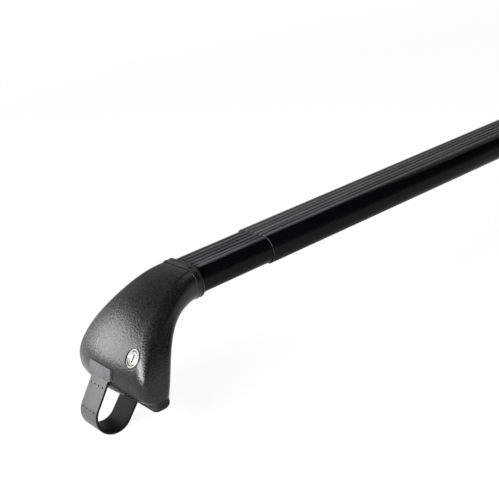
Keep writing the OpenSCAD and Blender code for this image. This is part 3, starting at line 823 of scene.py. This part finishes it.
slot_from, slot_to = STRAP_U - STRAP_T / 2 - SLOT_FIT, STRAP_U + STRAP_T / 2 + BEND_ROOM
slot_y = STRAP_W / 2 + SLOT_FIT
slot_ring = np.array([(slot_from, -slot_y), (slot_to, -slot_y), (slot_to, slot_y), (slot_from, slot_y)])
slot_rows = [in_place(np.column_stack([slot_ring, np.full(4, z)]))
             for z in (PAD_BOTTOM - CLEAR, -BASE_DROP + CLEAR)]
carve(pad, solid("slot", slot_rows, capped=True))

PAD_SCREW_Y, PAD_SCREW_R = BASE_HALF_W - 23 * MM, 1.9 * MM
COUNTERBORE_R, COUNTERBORE_TO = 4.1 * MM, 3.5 * MM
for side in (-1, 1):
    centre = in_place([PAD_MID, side * PAD_SCREW_Y, PAD_BOTTOM])
    drill(pad, centre, PAD_SCREW_R + FIT, PAD_T + CLEAR)
    drill(pad, centre, COUNTERBORE_R, COUNTERBORE_TO)
smooth(finish(pad, pad_rubber), 40)
both_sides(pad, "rail_pad_rubber", "foot", "rail_pad")

# %% [markdown]
# ## The strap
#
# The strap is a flat band of rubber. It comes out of the pad, hangs in a slack loop and goes up to
# the grip on the face. Its middle line is made of straights and arcs, and then cut into even steps.

# %% The middle line of the strap
BEND_R, BEND_UP, LEG_ANGLE, SLACK_LEG, LOOP_R = 8 * MM, 3 * MM, np.radians(42), 18 * MM, 13.6 * MM
STRAP_OVER, TAB_REACH, STEP = 1 * MM, TAB_H / 2 + 1.5 * MM, 0.6 * MM
STRAP_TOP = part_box("right_strap")[1][2] - AXIS_Z
mid_r = LOOP_R + STRAP_T / 2


def arc(centre, radius, start, end, step=STEP):
    """Points on a circle from start to end, at most one step of length apart."""
    count = int(np.ceil(abs(end - start) * radius / step)) + 1
    angle = np.linspace(start, end, count)
    return centre + radius * np.stack([np.cos(angle), np.sin(angle)], 1)


to_leg = np.array([np.cos(LEG_ANGLE), np.sin(LEG_ANGLE)])
bend_centre = np.array([STRAP_U + BEND_R, PAD_BOTTOM + BEND_UP])
leg = np.array([np.sin(LEG_ANGLE), -np.cos(LEG_ANGLE)])
loop_centre = bend_centre - BEND_R * to_leg + SLACK_LEG * leg + mid_r * to_leg
tilt = face_tilt(TAB_AT)
down_face, out_of_face = np.array([np.sin(tilt), -np.cos(tilt)]), np.array([np.cos(tilt), np.sin(tilt)])
strap_end = face_point(TAB_AT, 0)[[0, 2]] - STRAP_DEPTH * out_of_face - STRAP_OVER * down_face
strap_exit = strap_end + TAB_REACH * down_face
to_loop = loop_centre - strap_exit
exit_angle = np.arctan2(to_loop[1], to_loop[0]) + np.arcsin(mid_r / np.linalg.norm(to_loop)) + np.pi / 2
middle = np.concatenate([
    [(STRAP_U, STRAP_TOP)],
    arc(bend_centre, BEND_R, np.pi, np.pi + LEG_ANGLE),
    arc(loop_centre, mid_r, -np.pi + LEG_ANGLE, exit_angle),
    [strap_exit, strap_end]])
along = np.concatenate([[0], np.cumsum(np.linalg.norm(np.diff(middle, axis=0), axis=1))])
even = np.linspace(0, along[-1], 260)
middle = np.stack([np.interp(even, along, middle[:, k]) for k in (0, 1)], 1)
print("strap is %.0f mm long" % (along[-1] / MM))

# %% [markdown]
# ## The strap's band
#
# A flat section with rounded edges is carried along the middle line. Rows of small pinholes let its
# tongue be set. The outer skin is grey, and the rest of the band, its inner side and edges, gets a
# nearly black copy of the rubber as painted shade, so each face is asked which way it points.

# %% The band with its pinholes
EDGE = 0.7 * MM
tangent = np.gradient(middle, axis=0)
tangent /= np.linalg.norm(tangent, axis=1, keepdims=True)
normal = np.stack([-tangent[:, 1], tangent[:, 0]], 1)
edge_angle = np.radians(np.arange(0, 360, 15))
TINY = 1e-9  # keeps a cosine of 90 degrees on one side of zero
section_y = np.sign(np.cos(edge_angle) + TINY) * (STRAP_W / 2 - EDGE) + EDGE * np.cos(edge_angle)
section_n = np.sign(np.sin(edge_angle) + TINY) * (STRAP_T / 2 - EDGE) + EDGE * np.sin(edge_angle)
band_rows = np.stack([
    middle[:, :1] + normal[:, :1] * section_n,
    np.broadcast_to(section_y, (len(middle), len(section_y))),
    middle[:, 1:] + normal[:, 1:] * section_n], axis=-1)
strap = solid("strap_band", in_place(band_rows), capped=True)

PIN_R, PIN_PITCH, PIN_ROW, PIN_ROWS, PINS_ACROSS, FIRST_ROW = 0.8 * MM, 5.9 * MM, 20 * MM, 3, 4, 6.5 * MM
PIN_REACH = 2 * MM
pin_angle = np.linspace(0, 2 * np.pi, 16, endpoint=False)
for row in range(PIN_ROWS):
    k = int(np.searchsorted(even, even[-1] - TAB_REACH - FIRST_ROW - row * PIN_ROW))
    spread = middle[k] + np.outer(PIN_R * np.cos(pin_angle), tangent[k])
    for pin in range(PINS_ACROSS):
        y = (pin - (PINS_ACROSS - 1) / 2) * PIN_PITCH + PIN_R * np.sin(pin_angle)
        ends = [spread + reach * normal[k] for reach in (-PIN_REACH, PIN_REACH)]
        hole = [in_place(np.column_stack([end[:, 0], y, end[:, 1]])) for end in ends]
        carve(strap, solid("pinhole", hole, capped=True))

# %% The strap's finish and its painted shade
smooth(finish(strap, strap_rubber), 40)
strap.data.materials.append(strap_painted_shade)
centres, normals = np.empty((2, len(strap.data.polygons) * 3))
strap.data.polygons.foreach_get("center", centres)
strap.data.polygons.foreach_get("normal", normals)
centres, normals = centres.reshape(-1, 3)[:, [0, 2]], normals.reshape(-1, 3)[:, [0, 2]]
middle_place = middle + (MOUTH_X, AXIS_Z)
nearest = np.argmin(np.linalg.norm(centres[:, None] - middle_place[None], axis=2), axis=1)
# Faces that don't point against the middle line's normal, the inner side and the edges, get the black
# copy: painted shade.
is_painted_shade = np.einsum("ij,ij->i", normals, normal[nearest]) > -0.5
strap.data.polygons.foreach_set("material_index", is_painted_shade.astype(np.int32))
print("strap has %.0f%% of its faces in painted shade" % (100 * np.mean(is_painted_shade)))
both_sides(strap, "strap_band", "foot", "strap")

# %% [markdown]
# ## The grip
#
# The grip is a moulded plate of the same rubber, pushed over the strap's end, and it lies almost
# flush in its pocket. Its corners and its front edge are rounded, as a soft plate leaves its mould.

# %% The grip
GRIP_EDGE = 0.7 * MM
grip_edge = [(TAB_PROUD - GRIP_EDGE * (1 - np.sin(e)), GRIP_EDGE * (1 - np.cos(e)))
             for e in np.radians((22.5, 45, 67.5, 90))]
grip_layers = [(x, -tab_half + lost, tab_half - lost, TAB_W - 2 * lost)
               for x, lost in [(-TAB_IN, 0.0), (TAB_PROUD - GRIP_EDGE, 0.0), *grip_edge]]
grip = smooth(finish(plate("grip", grip_layers, TAB_R), grip_rubber), 40)
both_sides(grip, "strap_grip_plate", "foot", "strap_grip")

# %% [markdown]
# ## The lock
#
# The sleeve is a turned ring with a chamfer. The barrel inside it turns with the key, so it is a
# piece of its own on the lock's body, with a dished face and a keyway whose walls are dark as
# painted shade.

# %% The lock's sleeve and barrel
SLEEVE_LEN, BARREL_LEN = 11.5 * MM, 18 * MM
KEYWAY_L, KEYWAY_W, KEYWAY_REACH = 6.4 * MM, 1.4 * MM, 5 * MM
sleeve_r, barrel_r = SLEEVE_D / 2, BARREL_D / 2
sleeve = turned("sleeve", [
    (barrel_r + FIT, -SLEEVE_LEN), (sleeve_r, -SLEEVE_LEN), (sleeve_r, -0.5 * MM),
    (sleeve_r - 0.15 * MM, -0.15 * MM), (sleeve_r - 0.5 * MM, 0), (barrel_r + 0.7 * MM, 0),
    (barrel_r + FIT, -0.5 * MM)], capped=False)
smooth(finish(sleeve, cast_zinc), 40)
both_sides(sleeve, "lock_sleeve_ring", "foot", "lock_sleeve")

barrel = finish(turned("barrel", [
    (barrel_r, -BARREL_LEN), (barrel_r, -0.8 * MM), (barrel_r - 0.4 * MM, -FREE),
    (barrel_r - 1.1 * MM, -FREE), (barrel_r - 1.5 * MM, -0.7 * MM), (0.4 * MM, -0.8 * MM)]), cast_zinc)
key_x, key_y = np.array([-1, 1, 1, -1]) * KEYWAY_L / 2, np.array([-1, -1, 1, 1]) * KEYWAY_W / 2
key_rows = [in_place(on_lock(key_x, key_y, np.full(4, z))) for z in (-KEYWAY_REACH, KEYWAY_REACH)]
# The keyway's cut walls take the dark metal: painted shade.
carve(barrel, finish(solid("keyway", key_rows, capped=True), keyway_painted_shade))
smooth(barrel, 30)
both_sides(barrel, "lock_barrel_face", "lock", "lock_barrel")

# %% [markdown]
# ## Floor
#
# The floor is plain and pale, and stands under the strap loops. The background is white, so where a
# ray looks straight at the floor, from the camera, off gloss or through glass, most of what it sees
# is white by itself, and the rest is paint that keeps the object's shadow. Far off it is all white.

# %% Floor
FLOOR_HALF, SHADE_NEAR, SHADE_FAR, NEAR_WHITE = 40.0, 0.75, 2.2, 0.93


def seen_directly(tree):
    """1 for rays that look at the backdrop: from the camera, off gloss or through glass."""
    rays = add(tree, "ShaderNodeLightPath").outputs
    either = calculated(tree, "MAXIMUM", rays["Is Camera Ray"], rays["Is Glossy Ray"])
    return calculated(tree, "MAXIMUM", either, rays["Is Transmission Ray"])


floor_mesh = bpy.data.meshes.new("floor")
floor_corners = [(FLOOR_HALF * x, FLOOR_HALF * y, 0) for x, y in ((-1, -1), (1, -1), (1, 1), (-1, 1))]
floor_mesh.from_pydata(floor_corners, [], [(0, 1, 2, 3)])
floor = bpy.data.objects.new("floor", floor_mesh)
bpy.context.scene.collection.objects.link(floor)
floor_paint, tree, surface = new_material("pale_floor_paint", Base_Color=linear("#f4f4f4"),
                                          Roughness=0.8, Specular_IOR_Level=0.1)
distance = add(tree, "ShaderNodeVectorMath", {0: object_coordinates(tree)}, operation="LENGTH")
whiten = mapped(tree, distance.outputs["Value"], SHADE_NEAR, SHADE_FAR, NEAR_WHITE, 1.0,
                interpolation_type="SMOOTHSTEP")
share = calculated(tree, "MULTIPLY", seen_directly(tree), whiten)
glow = add(tree, "ShaderNodeEmission", {"Color": (1, 1, 1, 1), "Strength": 1.0})
blend = add(tree, "ShaderNodeMixShader", {0: share, 1: surface.outputs[0], 2: glow.outputs[0]})
tree.links.new(blend.outputs[0], tree.nodes["Material Output"].inputs["Surface"])
finish(floor, floor_paint)
print("floor is %.0f m wide" % (2 * FLOOR_HALF))

# %% [markdown]
# ## World
#
# Black plastic shows its form by what it mirrors, so the world isn't one grey. It is white at the
# horizon, where a studio has its backdrop, and falls to a dark grey overhead. It is dimmer on the
# camera's side, as a studio is behind its camera, so the near side of the bar stays black.

# %% World
FRONT_GLOOM = 0.3
SKY_SHADES = [(0.0, "#ffffff"), (0.12, "#dcdcdc"), (0.36, "#b4b4b4"), (0.5, "#7c7c7c"),
              (0.66, "#484848"), (0.85, "#3a3a3a")]
world = bpy.data.worlds.new("studio")
world.use_nodes = True
bpy.context.scene.world = world
sky = world.node_tree
looking = add(sky, "ShaderNodeTexCoord").outputs["Generated"]
way = add(sky, "ShaderNodeSeparateXYZ", {"Vector": looking}).outputs
front = calculated(sky, "MINIMUM", way["Y"], 0.0)
height = calculated(sky, "MULTIPLY_ADD", front, -FRONT_GLOOM, way["Z"])
sky.links.new(ramp(sky, height, SKY_SHADES), sky.nodes["Background"].inputs["Color"])
print("sky has", len(SKY_SHADES), "shades")

# %% [markdown]
# ## Lamps
#
# Two soft boxes stand where the photograph's highlights point. One, beyond the left foot on the far
# side of the bar, gives the broad sheen on its face. The other, wide and much brighter, stands out
# past the foot on the near side, and its slant draws the bright line down the corner. A weak lamp
# overhead fills the deck and the right foot.

# %% Lamps
def lamp(name, place, aim, width, height, brightness, roll=0.0):
    """A soft box at a place, turned to face a point and rolled by some degrees. Its power is pi
    times its area times the brightness that a mirror would show."""
    data = bpy.data.lights.new(name, "AREA")
    data.shape, data.size, data.size_y = "RECTANGLE", width, height
    data.energy = np.pi * width * height * brightness
    box = bpy.data.objects.new(name, data)
    bpy.context.scene.collection.objects.link(box)
    back = np.array(place, float) - np.array(aim, float)
    back /= np.linalg.norm(back)
    side = np.cross([0, 0, 1], back)
    side /= np.linalg.norm(side)
    side = np.cos(np.radians(roll)) * side + np.sin(np.radians(roll)) * np.cross(back, side)
    matrix = np.eye(4)
    matrix[:3, :3] = np.stack([side, np.cross(back, side), back], 1)
    matrix[:3, 3] = place
    box.matrix_world = Matrix(matrix.tolist())
    print("%s: %.1f W" % (name, data.energy))


LEFT_FOOT = (-0.52, 0, 0.06)
lamp("face_lamp", (-1.25, 1.03, 0.65), LEFT_FOOT, 1.0, 0.6, 7.3, roll=25)
lamp("corner_lamp", (-1.7, -0.24, 0.76), LEFT_FOOT, 1.8, 0.5, 26, roll=-24)
lamp("top_lamp", (0.9, 0.3, 1.7), (0.1, 0, 0), 1.4, 1.4, 1.1)

# %% The view transform
bpy.context.scene.view_settings.view_transform = "Standard"
